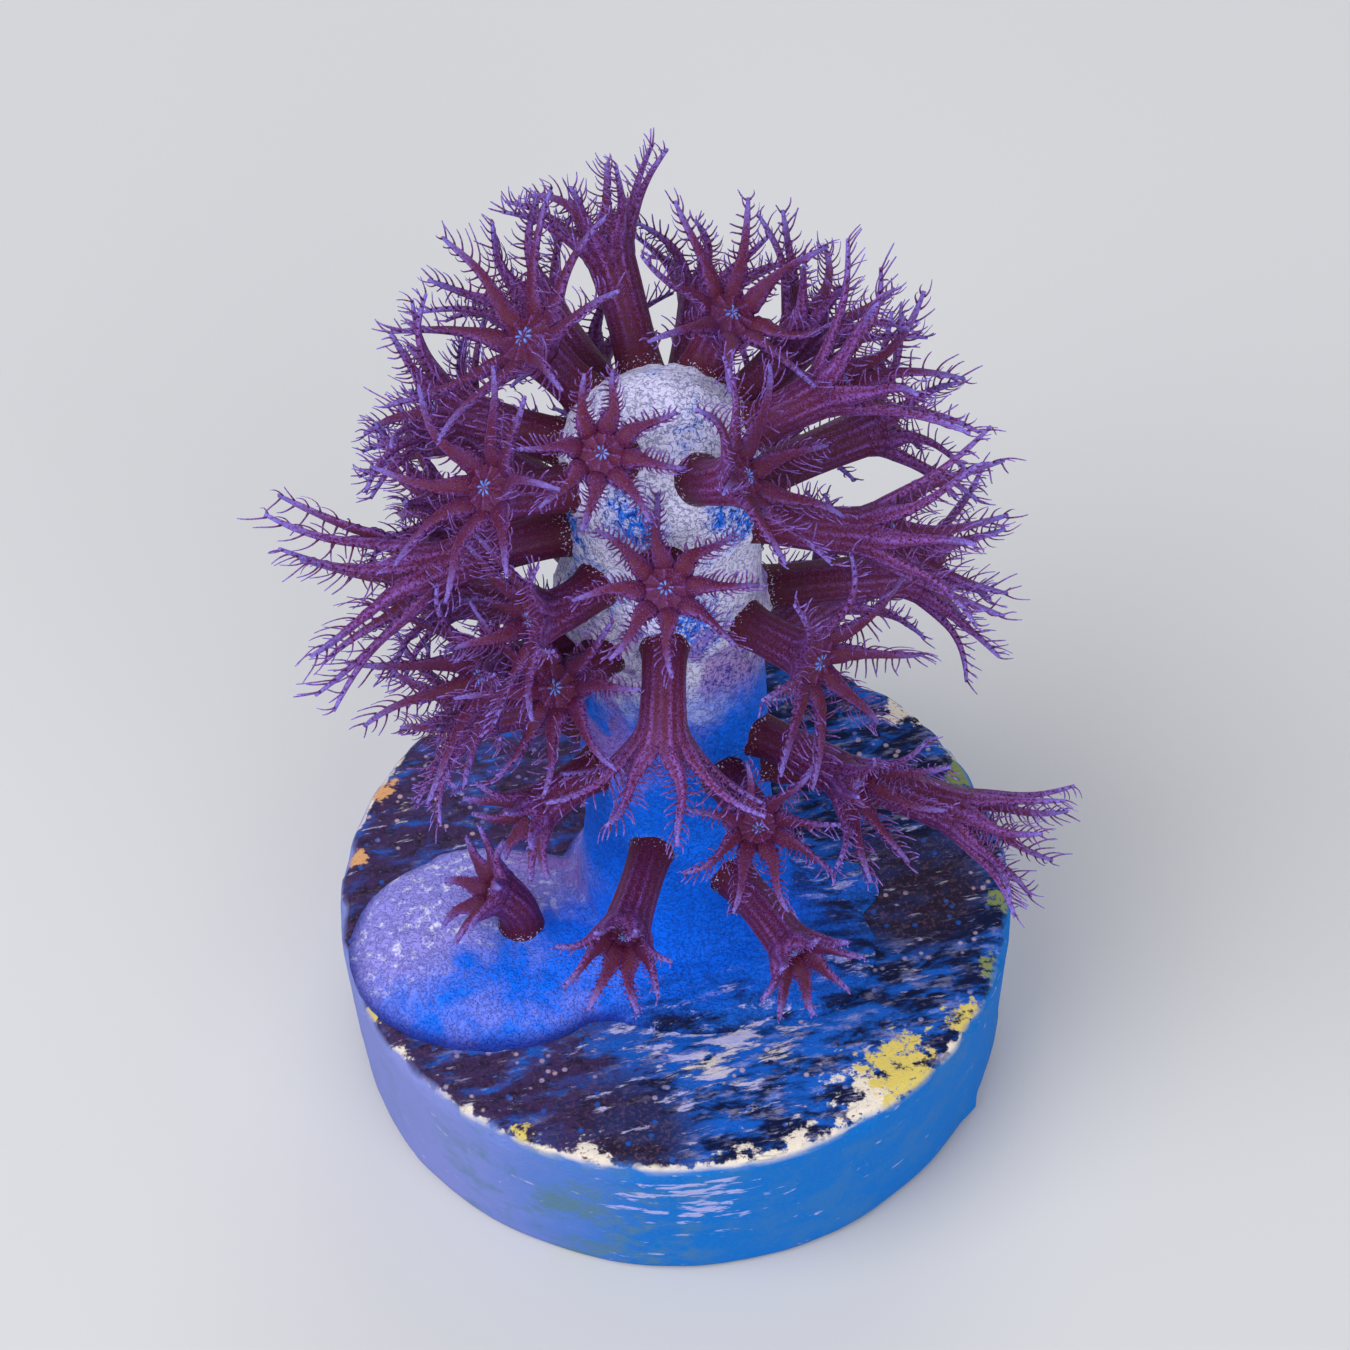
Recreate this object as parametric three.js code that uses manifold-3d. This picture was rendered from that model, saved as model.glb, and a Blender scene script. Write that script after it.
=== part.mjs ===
// A young sea fan: one finger-shaped stem with a spreading foot and large feathery polyps,
// grown onto a round cement frag disc. Millimetres, +Z up, origin at the centre of the disc's
// bottom face. Azimuths and headings are degrees about +Z from +X; +Y is the back.
import * as THREE from 'three';
import { mergeVertices } from 'three/addons/utils/BufferGeometryUtils.js';
import Module from 'manifold-3d';

const wasm = await Module();
wasm.setup();

const HAIR = 0.01;

// Frag disc
const DISC_DIAMETER = 32;
const DISC_THICKNESS = 9;
const DISC_BOTTOM_DIAMETER = 31.4;
const DISC_EDGE = 0.35;
const DISC_SIDES = 36;

// Stem, measured up from the disc's top
const STEM_RADIUS = 4.2;
const STEM_HEIGHT = 32.5;
const STEM_DOME = 4.6;
const STEM_FLARE = 1.9;
const FLARE_HEIGHT = 2.2;
const STEM_FOOT_X = 0.3;
const STEM_TOP_X = 0;
const STEM_SIDES = 16;
const STEM_RINGS = 9;

// Foot that creeps over the disc: flattened mounds, each x, y, half length, half width, height
const MOUNDS = [
  [-8.6, -3.4, 7.0, 6.0, 1.9],
  [0.6, -2.4, 7.6, 6.8, 1.5],
  [5.2, -4.2, 4.4, 4.2, 1.1],
];
const FOOT_REACH = DISC_DIAMETER / 2 - 0.2;

// Polyps
const COLUMN_RADIUS = 1.05;
const CROWN_RADIUS = 1.45;
const CROWN_SIDES = 8;
const CROWN_DEPTH = 0.9;
const MOUTH_RISE = 0.25;
const ROOT_GAP = 0.3;
const ROOT_POINT = 0.12;
const TENTACLES = 8;
const TENTACLE_SIDES = 3;
const TENTACLE_SEAT = 0.6;
const TENTACLE_SINK = 0.5;
const TENTACLE_NECK = 0.5;
const TENTACLE_THICKNESS = 0.5;
const TENTACLE_BELLY = 3.6;

// How the tentacles shove each other aside
const SHOVES = 160;
const ELBOW_ROOM = 1.5;
const LEAST_HEIGHT = 1.2;
const SAMPLES = [0.3, 0.45, 0.6, 0.75, 0.88, 1];
const SPRING_BACK = 0.02;

// Each polyp on the stem: azimuth and height of its root, column length, heading and rise that
// its crown faces, spread of its tentacles from that direction, further curl towards their tips,
// their length, and the crown's twist.
const STEM_POLYPS = [
  [100, 30.0, 5.8, 118, 52, 34, 18, 5.0, 10],
  [146, 30.5, 3.6, 192, 58, 58, 10, 6.4, 12],
  [122, 29.0, 5.0, 130, 22, 36, 14, 5.2, 20],
  [78, 27.5, 6.2, 76, 30, 42, 16, 4.2, 0],
  [55, 31.0, 3.2, -30, 64, 60, 6, 5.0, 26],
  [35, 29.5, 4.4, 30, 45, 42, 14, 5.2, 10],
  [5, 30.0, 3.8, 10, 30, 36, 8, 6.6, 22],
  [-62, 30.5, 3.0, -10, 35, 60, 6, 4.8, 12],
  [-20, 26.5, 5.0, -10, 8, 34, -6, 6.6, 8],
  [30, 25.0, 6.2, 22, 5, 46, 16, 5.4, 30],
  [8, 20.0, 6.8, 5, -5, 44, 16, 5.4, 12],
  [-40, 21.5, 3.8, -42, 10, 56, 20, 5.6, 20],
  [-90, 27.0, 3.4, -86, 64, 78, 12, 3.4, 0],
  [-92, 21.8, 4.6, -98, -58, 44, 10, 5.4, 22],
  [-132, 24.6, 3.6, -152, 18, 52, 14, 4.6, 26],
  [-130, 20.5, 3.8, -118, 40, 52, 18, 4.8, 20],
  [196, 25.8, 6.0, 195, -8, 30, -4, 7.4, 30],
  [-155, 19.5, 4.6, -140, 25, 42, 10, 6.2, 14],
  [205, 29.0, 4.2, 215, 45, 56, 14, 5.0, 30],
  [168, 24.2, 5.4, 180, 8, 48, 18, 5.2, 8],
  [165, 28.8, 5.2, 170, 15, 46, 16, 5.0, 26],
  [235, 31.2, 2.6, -80, 55, 72, 12, 3.0, 23],
  [-30, 13.5, 5.4, -52, 10, 34, 12, 4.4, 10],
  [-15, 10.5, 9.2, -27, -6, 22, 10, 5.4, 33],
  [-60, 12.5, 4.0, -80, 25, 46, 18, 3.8, 12],
  [-106, 8.0, 5.4, -102, 12, 26, 8, 3.6, 22],
  [-58, 5.5, 5.4, -62, 0, 36, 10, 3.0, 0],
  [-145, 11.8, 3.8, -138, -6, 42, 12, 2.9, 30],
  [145, 23.5, 6.6, 145, 26, 46, 16, 5.0, 10],
  [110, 24.5, 5.8, 108, 18, 46, 16, 5.2, 30],
  [60, 21.0, 5.6, 60, 10, 48, 18, 5.2, 6],
  [92, 18.5, 5.4, 92, 8, 50, 16, 5.2, 22],
  [124, 17.0, 5.6, 126, 6, 46, 20, 5.0, 12],
  [164, 18.0, 5.4, 166, 6, 50, 14, 5.2, 34],
  [192, 15.0, 5.2, 196, 6, 46, 18, 4.8, 6],
  [38, 13.5, 5.2, 38, 12, 44, 18, 4.8, 26],
  [76, 11.0, 5.2, 76, 10, 46, 14, 4.8, 8],
  [112, 9.0, 5.0, 110, 10, 44, 16, 4.6, 30],
  [150, 9.5, 5.2, 150, 10, 46, 14, 4.6, 16],
];

// Polyps on the foot: root x and y, then the same values as above from the column length on
const FOOT_POLYPS = [
  [-7.2, -3.4, 3.4, 182, 32, 50, 8, 2.8, 8],
];

const degrees = THREE.MathUtils.degToRad;

function material(color, roughness) {
  return new THREE.MeshStandardMaterial({ color, roughness, metalness: 0 });
}

const cement = material(0x6f86c4, 0.85);
const stemSkin = material(0xb9b4e4, 0.7);
const polypSkin = material(0x52254f, 0.55);

function toSolid(geometry) {
  const bare = geometry.clone();
  bare.deleteAttribute('normal');
  bare.deleteAttribute('uv');
  const merged = mergeVertices(bare, 1e-4);
  return new wasm.Manifold(new wasm.Mesh({
    numProp: 3,
    vertProperties: new Float32Array(merged.attributes.position.array),
    triVerts: new Uint32Array(merged.index.array),
  }));
}

// Booleans leave some corners a hair apart, so the solid is simplified by that hair first.
function toGeometry(solid) {
  const mesh = solid.simplify(HAIR).getMesh();
  const geometry = new THREE.BufferGeometry();
  geometry.setAttribute('position', new THREE.BufferAttribute(mesh.vertProperties, 3));
  geometry.setIndex(new THREE.BufferAttribute(mesh.triVerts, 1));
  geometry.computeVertexNormals();
  return geometry;
}

function joined(geometries) {
  return geometries.map(toSolid).reduce((whole, piece) => whole.add(piece));
}

function direction(heading, rise) {
  const [turn, lift] = [degrees(heading), degrees(rise)];
  const level = Math.cos(lift);
  return new THREE.Vector3(Math.cos(turn) * level, Math.sin(turn) * level, Math.sin(lift));
}

// Upright lathe: three.js turns profiles about +Y, so the result is stood up along +Z.
function upright(profile, sides) {
  const points = profile.map(([radius, height]) => new THREE.Vector2(radius, height));
  return new THREE.LatheGeometry(points, sides).rotateX(Math.PI / 2);
}

function fragDisc() {
  const top = DISC_DIAMETER / 2;
  const bottom = DISC_BOTTOM_DIAMETER / 2;
  const disc = upright([
    [0, 0],
    [bottom - DISC_EDGE, 0],
    [bottom, DISC_EDGE],
    [top, DISC_THICKNESS - DISC_EDGE],
    [top - DISC_EDGE, DISC_THICKNESS],
    [0, DISC_THICKNESS],
  ], DISC_SIDES);
  return new THREE.Mesh(toGeometry(toSolid(disc)), cement);
}

function stemRadius(height) {
  const flare = STEM_FLARE * Math.exp(-height / FLARE_HEIGHT);
  const intoDome = Math.max(0, height - (STEM_HEIGHT - STEM_DOME)) / STEM_DOME;
  return (STEM_RADIUS + flare) * Math.sqrt(Math.max(0, 1 - intoDome * intoDome));
}

function stemCentre(height) {
  const x = THREE.MathUtils.lerp(STEM_FOOT_X, STEM_TOP_X, height / STEM_HEIGHT);
  return new THREE.Vector3(x, 0, DISC_THICKNESS + height);
}

function stemFinger() {
  const profile = [[0, -1]];
  for (let ring = 0; ring < STEM_RINGS; ring += 1) {
    const along = Math.sin((ring / STEM_RINGS) * Math.PI / 2);
    const height = STEM_HEIGHT * (0.35 * along + 0.65 * (ring / STEM_RINGS));
    profile.push([stemRadius(height), ring === 0 ? -1 : height]);
  }
  profile.push([stemRadius(STEM_HEIGHT - 0.25), STEM_HEIGHT - 0.25], [0, STEM_HEIGHT]);
  const finger = upright(profile, STEM_SIDES);
  const place = finger.attributes.position;
  for (let i = 0; i < place.count; i += 1) {
    const centre = stemCentre(place.getZ(i));
    place.setXYZ(i, place.getX(i) + centre.x, place.getY(i), centre.z);
  }
  return finger;
}

function mound([x, y, halfLength, halfWidth, height]) {
  const cap = new THREE.SphereGeometry(1, 14, 6).rotateX(Math.PI / 2);
  return cap.scale(halfLength, halfWidth, height).translate(x, y, DISC_THICKNESS);
}

// The stem and its foot grew as one piece. It is cut off flat where it sits on the disc.
function stemAndFoot() {
  const grown = joined([stemFinger(), ...MOUNDS.map(mound)]);
  const room = new THREE.CylinderGeometry(FOOT_REACH, FOOT_REACH, 2 * STEM_HEIGHT, DISC_SIDES);
  room.rotateX(Math.PI / 2).translate(0, 0, DISC_THICKNESS + STEM_HEIGHT);
  return new THREE.Mesh(toGeometry(grown.intersect(toSolid(room))), stemSkin);
}

function moundHeight(x, y) {
  const heights = MOUNDS.map(([cx, cy, halfLength, halfWidth, height]) => {
    const out = ((x - cx) / halfLength) ** 2 + ((y - cy) / halfWidth) ** 2;
    return height * Math.sqrt(Math.max(0, 1 - out));
  });
  return Math.max(...heights);
}

// Where a polyp's root stands on the stem, and the way out of the surface there
function stemSeat(azimuth, height) {
  const step = 0.05;
  const slope = (stemRadius(height - step) - stemRadius(height + step)) / (2 * step);
  const outward = direction(azimuth, THREE.MathUtils.radToDeg(Math.atan(slope)));
  const ring = direction(azimuth, 0).multiplyScalar(stemRadius(height));
  return { root: stemCentre(height).add(ring).addScaledVector(outward, ROOT_GAP), outward };
}

function footSeat(x, y) {
  const root = new THREE.Vector3(x, y, DISC_THICKNESS + moundHeight(x, y) + ROOT_GAP);
  return { root, outward: new THREE.Vector3(0, 0, 1) };
}

// A polyp's lines: the column bends from the surface's normal to the crown's facing, and each
// tentacle is a curve of three points.
function polypLines({ root, outward }, [column, heading, rise, spread, curl, reach, twist]) {
  const facing = direction(heading, rise);
  const bend = root.clone().addScaledVector(outward, column / 2);
  const crown = bend.clone().addScaledVector(facing, column / 2);
  const up = new THREE.Vector3(0, 0, 1).addScaledVector(facing, -facing.z).normalize();
  const across = facing.clone().cross(up);
  const tentacles = [];
  for (let k = 0; k < TENTACLES; k += 1) {
    const turn = degrees(twist + (360 / TENTACLES) * k);
    const out = up.clone().multiplyScalar(Math.cos(turn));
    out.addScaledVector(across, Math.sin(turn));
    const lean = (angle) => facing.clone().multiplyScalar(Math.cos(degrees(angle)))
      .addScaledVector(out, Math.sin(degrees(angle)));
    const seat = crown.clone().addScaledVector(out, TENTACLE_SEAT);
    seat.addScaledVector(facing, -TENTACLE_SINK);
    const middle = seat.clone().addScaledVector(lean(spread), reach / 2);
    const tip = middle.clone().addScaledVector(lean(spread + curl), reach / 2);
    const side = facing.clone().cross(out);
    tentacles.push({ seat, middle, tip, side, wish: [middle.clone(), tip.clone()] });
  }
  const halfStep = degrees(twist + 180 / TENTACLES);
  const seam = up.clone().multiplyScalar(Math.cos(halfStep));
  seam.addScaledVector(across, Math.sin(halfStep));
  return { root, bend, crown, seam, tentacles };
}

function curvePoint(start, middle, end, t) {
  const point = start.clone().multiplyScalar((1 - t) * (1 - t));
  return point.addScaledVector(middle, 2 * t * (1 - t)).addScaledVector(end, t * t);
}

function tentacleSamples(polyp, owner) {
  return polyp.tentacles.flatMap((tentacle, arm) => SAMPLES.map((t) => ({
    owner,
    arm,
    tentacle,
    t,
    point: curvePoint(tentacle.seat, tentacle.middle, tentacle.tip, t),
  })));
}

function columnSamples(polyp, owner) {
  return [0.25, 0.5, 0.75, 1].map((t) => ({
    owner,
    point: curvePoint(polyp.root, polyp.bend, polyp.crown, t),
  }));
}

function push(sample, shove) {
  const { tentacle, t } = sample;
  if (!tentacle) return;
  tentacle.middle.addScaledVector(shove, 2 * t * (1 - t));
  tentacle.tip.addScaledVector(shove, t * t);
}

function keepLength(tentacle, reach) {
  const { seat, middle, tip } = tentacle;
  middle.sub(seat).setLength(reach / 2).add(seat);
  tip.sub(middle).setLength(reach / 2).add(middle);
}

function keepOffStem(sample) {
  const height = sample.point.z - DISC_THICKNESS;
  const away = sample.point.clone().sub(stemCentre(height)).setZ(0);
  const room = stemRadius(Math.min(Math.max(height, 0), STEM_HEIGHT)) + ELBOW_ROOM / 2;
  const short = height < STEM_HEIGHT ? room - away.length() : 0;
  if (short > 0) push(sample, away.setLength(short));
  const low = LEAST_HEIGHT - height;
  if (low > 0) push(sample, new THREE.Vector3(0, 0, low));
}

// Tentacles that would touch shove each other aside, a little at a time, and spring back
// towards the way they would lie alone.
function settle(polyps) {
  const columns = polyps.flatMap(columnSamples);
  for (let round = 0; round < SHOVES; round += 1) {
    const arms = polyps.flatMap(tentacleSamples);
    const all = arms.concat(columns);
    arms.forEach((one, i) => {
      for (let j = i + 1; j < all.length; j += 1) {
        const other = all[j];
        if (other.owner === one.owner) continue;
        const apart = one.point.clone().sub(other.point);
        const room = other.tentacle ? ELBOW_ROOM : ELBOW_ROOM / 2 + CROWN_RADIUS;
        const short = room - apart.length();
        if (short <= 0) continue;
        apart.setLength(short * 0.3);
        push(one, apart);
        push(other, apart.negate());
      }
      keepOffStem(one);
    });
    for (const polyp of polyps) {
      for (const tentacle of polyp.tentacles) {
        tentacle.middle.lerp(tentacle.wish[0], SPRING_BACK);
        tentacle.tip.lerp(tentacle.wish[1], SPRING_BACK);
        keepLength(tentacle, polyp.reach);
      }
    }
  }
}

// Bends an upright shape, its foot at the origin and its length along +Y, along a curve.
function bent(shape, length, [start, middle, end], side) {
  const place = shape.attributes.position;
  for (let i = 0; i < place.count; i += 1) {
    const [x, y, z] = [place.getX(i), place.getY(i), place.getZ(i)];
    const t = THREE.MathUtils.clamp(y / length, 0, 1);
    const along = middle.clone().sub(start).multiplyScalar(1 - t);
    along.addScaledVector(end.clone().sub(middle), t).normalize();
    const wide = side.clone().addScaledVector(along, -along.dot(side)).normalize();
    const thick = wide.clone().cross(along);
    const point = curvePoint(start, middle, end, t).addScaledVector(wide, x);
    point.addScaledVector(thick, z).addScaledVector(along, y - t * length);
    place.setXYZ(i, point.x, point.y, point.z);
  }
  return shape;
}

function columnShape({ root, bend, crown, seam }) {
  const length = root.distanceTo(bend) + bend.distanceTo(crown);
  const profile = [
    [0, -ROOT_POINT],
    [COLUMN_RADIUS, 0],
    [COLUMN_RADIUS, length / 2],
    [CROWN_RADIUS, length - CROWN_DEPTH],
    [0, length + MOUTH_RISE],
  ];
  const points = profile.map(([radius, height]) => new THREE.Vector2(radius, height));
  return bent(new THREE.LatheGeometry(points, CROWN_SIDES), length, [root, bend, crown], seam);
}

function tentacleShape({ seat, middle, tip, side }) {
  const cone = new THREE.ConeGeometry(TENTACLE_NECK / 2, 1, TENTACLE_SIDES, 2).translate(0, 0.5, 0);
  cone.scale(1, 1, TENTACLE_THICKNESS / TENTACLE_NECK);
  const place = cone.attributes.position;
  for (let i = 0; i < place.count; i += 1) {
    const belly = 1 + 4 * TENTACLE_BELLY * place.getY(i) * (1 - place.getY(i));
    place.setX(i, place.getX(i) * belly);
  }
  return bent(cone, 1, [seat, middle, tip], side);
}

function polypMesh(polyp) {
  const shapes = [columnShape(polyp), ...polyp.tentacles.map(tentacleShape)];
  return new THREE.Mesh(toGeometry(joined(shapes)), polypSkin);
}

function allPolyps() {
  const onStem = STEM_POLYPS.map(([azimuth, height, ...form]) => {
    const lines = polypLines(stemSeat(azimuth, height), form);
    return Object.assign(lines, { reach: form[5] });
  });
  const onFoot = FOOT_POLYPS.map(([x, y, ...form]) => {
    const lines = polypLines(footSeat(x, y), form);
    return Object.assign(lines, { reach: form[5] });
  });
  return onStem.concat(onFoot);
}

const frag = new THREE.Group();

const disc = fragDisc();
disc.name = 'frag_disc';
frag.add(disc);

const stem = stemAndFoot();
stem.name = 'stem_and_foot';
frag.add(stem);

const polyps = allPolyps();
settle(polyps);
polyps.forEach((polyp, index) => {
  const mesh = polypMesh(polyp);
  mesh.name = `polyp_${String(index + 1).padStart(2, '0')}`;
  frag.add(mesh);
});

export default frag;
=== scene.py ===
"""A young sea fan: a pale finger-shaped stem with a spreading foot and large feathery polyps,
grown on a round cement frag disc. Sizes in this file are millimetres unless a name says otherwise;
meshes are written in metres, in the frame's own place."""

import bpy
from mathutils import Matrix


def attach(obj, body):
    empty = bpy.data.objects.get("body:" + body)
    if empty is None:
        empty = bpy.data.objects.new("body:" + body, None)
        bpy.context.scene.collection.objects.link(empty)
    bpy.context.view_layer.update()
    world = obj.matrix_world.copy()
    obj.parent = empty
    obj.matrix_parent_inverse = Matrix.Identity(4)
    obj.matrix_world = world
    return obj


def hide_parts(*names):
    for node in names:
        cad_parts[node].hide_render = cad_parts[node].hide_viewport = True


bl_info = {
    "name": "Sea Fan Frag",
    "version": (1, 0, 0),
    "blender": (4, 5, 0),
    "location": "View3D > Sidebar > Sea Fan",
    "description": "Builds a young sea fan with feathery polyps on a round frag disc",
    "category": "Add Mesh",
}

import math

import bmesh
import bpy
import numpy as np
from bpy.props import FloatProperty, FloatVectorProperty, IntProperty, PointerProperty
from mathutils import Color, Matrix, Vector, noise

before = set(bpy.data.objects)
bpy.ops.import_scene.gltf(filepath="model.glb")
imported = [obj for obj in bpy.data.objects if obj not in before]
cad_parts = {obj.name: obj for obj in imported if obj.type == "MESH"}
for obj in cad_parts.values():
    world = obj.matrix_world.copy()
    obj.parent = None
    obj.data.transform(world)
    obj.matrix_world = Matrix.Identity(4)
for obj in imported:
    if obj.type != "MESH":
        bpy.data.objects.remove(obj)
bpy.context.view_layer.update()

MM = 0.001
DISC_TOP = 9.0
DISC_RADIUS = 16.0
STEM_HEIGHT = 32.5
STEM_LEAN = 0.3
ARMS = 8

# In the CAD solid: the distance from the point under a polyp's root to the ring round it, how
# near that has to be, and the least distance from an arm's tip to the ring before it
ROOT_SPOKE = 1.057
ROOT_MISS = 0.02
TIP_SPOKE = 0.8

# Points on an arm's curve near the crown: how far out of its middle, and how far ahead of it.
# The CAD solid's arm starts at the seat. The visual arm starts at the foot and passes the rim.
ARM_SEAT = (0.6, -0.5)
ARM_FOOT = (0.82, -0.95)
ARM_RIM = (1.05, 0.05)

# The share of that curve that an arm covers, and the arm's length that its sway, curl and
# pinnules are given for
ARM_END = 0.96
USUAL_SPAN = 6.0

# An arm has no pinnules up to this length, or up to this share of it where that is shorter
BARE_LENGTH = 2.0
BARE_SHARE = 0.36

# Half of an arm's width along it, and its thickness over and under the middle line, as shares of
# its widest half and of its half width there: places, then shares
ARM_WIDTH = ((0, 0.14, 0.28, 0.42, 0.58, 0.75, 0.9, 1.0), (0.7, 0.95, 1.05, 0.8, 0.5, 0.36, 0.28, 0.17))
ARM_OVER = ((0, 0.15, 0.3, 0.6, 1), (0.6, 0.78, 0.74, 0.8, 0.95))
ARM_UNDER = ((0, 0.3, 0.6, 1), (0.4, 0.5, 0.78, 0.95))

# Radius and height of the stem's skin, up from the top of the disc
STEM_PROFILE = [
    (0.0, -0.4), (5.9, -0.4), (6.0, 0.0), (5.5, 0.5), (5.1, 1.2), (4.75, 2.4),
    (4.5, 4.0), (4.33, 6.5), (4.25, 10.0), (4.2, 16.0), (4.2, 22.0), (4.2, 27.0),
    (4.13, 28.7), (3.85, 29.8), (3.35, 30.7), (2.6, 31.5), (1.7, 32.1), (0.8, 32.42),
    (0.0, 32.5),
]

# A bulge of the finger's side: its middle over the disc, and its half sizes
BULGE = ((-2.1, -0.9, 21.5), (2.7, 2.6, 3.6))

# The collar round a polyp's root: its half sizes, and how far under the root its middle lies
COLLAR = (1.32, 1.32, 0.36)
COLLAR_DEPTH = 0.5

# Unevenness of the stem's skin: height and size of its swells
SWELLS = [(0.22, 3.2), (0.07, 0.9), (0.03, 0.4)]

# The foot's mounds: x, y, half length, half width, height
MOUNDS = [
    (-8.6, -3.4, 6.9, 5.9, 1.95),
    (-3.6, -3.9, 4.2, 3.9, 1.6),
    (0.6, -2.4, 7.4, 6.2, 1.3),
    (5.2, -4.2, 4.2, 4.0, 0.8),
    (1.2, -6.6, 3.4, 2.2, 0.55),
    (6.9, -0.6, 2.9, 2.0, 0.5),
]

# A polyp's outline from under its root to its mouth, in three stretches. Along the shaft: radius,
# and place. A place under 0 is that far below the root, and 0 to 1 runs along the shaft.
SHAFT = [
    (0.0, -0.8), (1.12, -0.75), (1.12, -0.5), (1.08, -0.25), (1.02, 0.0), (0.96, 0.12), (0.94, 0.25),
    (0.93, 0.4), (0.94, 0.55), (0.96, 0.7), (0.99, 0.85), (1.03, 1.0),
]
# Over the web that joins the arms' bases, up its outside and down its inside: height over the
# arms' middle lines, and place, from 0 at the shaft's end to 1 at the web's edge.
WEB = [
    (-0.25, 0.12), (-0.25, 0.3), (-0.23, 0.5), (-0.19, 0.7), (-0.14, 0.87), (-0.07, 0.97),
    (0.0, 1.0), (0.07, 0.96), (0.12, 0.86), (0.15, 0.74),
]
# Over the mouth disc: share of the way from the web to the middle, and rise.
MOUTH = [
    (0.2, 0.0), (0.4, 0.01), (0.55, 0.02), (0.65, 0.05), (0.74, 0.1), (0.82, 0.11), (0.91, 0.04),
    (1.0, -0.08),
]
CROWN_LENGTH = 1.0

# How far the web reaches along an arm: a share of its length, what each millimetre adds, the
# least and the most, and how much of that it hangs back between two arms
WEB_SHARE = 0.2
WEB_GAIN = 0.035
WEB_LIMITS = (0.25, 0.46)
WEB_SCALLOP = 0.42

# Blue patches of the stem: middle and radius
BLUE_PATCHES = [
    ((3.2, -3.0, 37.2), 3.2), ((-1.2, -4.0, 38.0), 2.6), ((-3.8, -1.8, 35.5), 3.0),
    ((1.0, -4.2, 31.5), 3.0), ((3.6, 2.4, 34.5), 3.4), ((-2.6, 3.6, 38.0), 2.8),
]

# Crusts on the disc's rim: middle, radius and the name of its colour
RIM_CRUST = [
    (-14.4, -6.6, 1.0, "yellow"), (-13.2, -9.2, 1.1, "cream"), (-11.8, -10.8, 0.9, "yellow"),
    (-9.8, -12.6, 0.9, "cream"), (-7.3, -14.2, 1.2, "yellow"), (-4.2, -15.1, 1.2, "cream"),
    (2.6, -15.4, 1.3, "cream"), (5.2, -14.4, 1.3, "cream"), (8.6, -12.4, 2.4, "cream"),
    (10.2, -11.3, 2.9, "yellow"), (8.0, -13.2, 1.4, "cream"), (13.4, -8.4, 1.4, "yellow"),
    (14.8, -5.6, 1.3, "olive"), (15.4, -1.5, 1.2, "olive"), (14.2, 6.6, 1.7, "olive"),
    (11.6, 10.4, 1.4, "cream"), (2.5, 15.0, 1.4, "olive"), (-6.8, 13.9, 1.2, "orange"),
    (-11.4, 10.2, 1.3, "cream"), (-14.2, 6.4, 1.1, "orange"), (-15.3, 2.4, 0.9, "orange"),
]

# Polyps that are partly drawn in, and the share of their pinnules' length that is left
DRAWN_IN = {"polyp_26": 0.6, "polyp_27": 0.45, "polyp_28": 0.35, "polyp_40": 0.3}

# The disc's outline from the middle of its top to the middle of its base
DISC_PROFILE = (
    [(radius, DISC_TOP) for radius in np.linspace(0.0, 15.3, 40)]
    + [(15.6, 8.98), (15.82, 8.88), (15.95, 8.7), (DISC_RADIUS, 8.45)]
    + [(DISC_RADIUS - 0.3 * (8.2 - height) / 8.0, height) for height in np.linspace(8.1, 0.7, 20)]
    + [(15.68, 0.4), (15.6, 0.2), (15.45, 0.06), (15.25, 0.0)]
    + [(radius, 0.0) for radius in np.linspace(14.0, 0.0, 8)]
)

# The camera: degrees down and of roll, lens, and its place from the middle of the disc's top
CAMERA_TILT = 48.8
CAMERA_ROLL = -2.0
CAMERA_LENS = 89.57
CAMERA_DISTANCE = 160
CAMERA_RISE = 10.0
LAMPS_AIM = (0, 0, 22)


# ---------------------------------------------------------------- settings


def colour(name, description, default):
    return FloatVectorProperty(
        name=name, description=description, default=default, subtype="COLOR", min=0, max=1
    )


def length(name, description, default):
    return FloatProperty(
        name=name, description=description, default=default * MM, min=0, unit="LENGTH",
        subtype="DISTANCE",
    )


class DiscSettings(bpy.types.PropertyGroup):
    film: colour("Film", "Azure film that grows over the top", (0.006, 0.105, 0.52))
    # Navy is also the colour of the painted shadow in one pit in front of the stem
    navy: colour("Navy", "Darkest streaks of the top", (0.002, 0.006, 0.042))
    growth: colour("Growth", "Brown crust on the top", (0.02, 0.011, 0.028))
    rust: colour("Rust", "Lighter grains of the brown crust", (0.19, 0.09, 0.13))
    murk: colour("Murk", "Purple brown film, left and back", (0.058, 0.028, 0.11))
    dash: colour("Dash", "Pale dashes on the top", (0.52, 0.5, 0.83))
    cream: colour("Cream", "Cream crust on the rim", (0.79, 0.7, 0.6))
    yellow: colour("Yellow", "Yellow crust on the rim", (0.68, 0.54, 0.13))
    olive: colour("Olive", "Olive crust on the rim", (0.22, 0.27, 0.1))
    orange: colour("Orange", "Orange crust on the rim", (0.66, 0.34, 0.15))
    # The side wall runs from Pale side to Blue side; its paler left is partly painted light from the
    # left
    pale: colour("Pale side", "Side wall, left", (0.215, 0.255, 0.63))
    blue: colour("Blue side", "Side wall, right", (0.0, 0.155, 0.56))
    dull: colour("Dull side", "Dull patches of the side wall", (0.09, 0.2, 0.27))
    crust: length("Crust", "Height of the crust on the top", 0.16)


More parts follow.
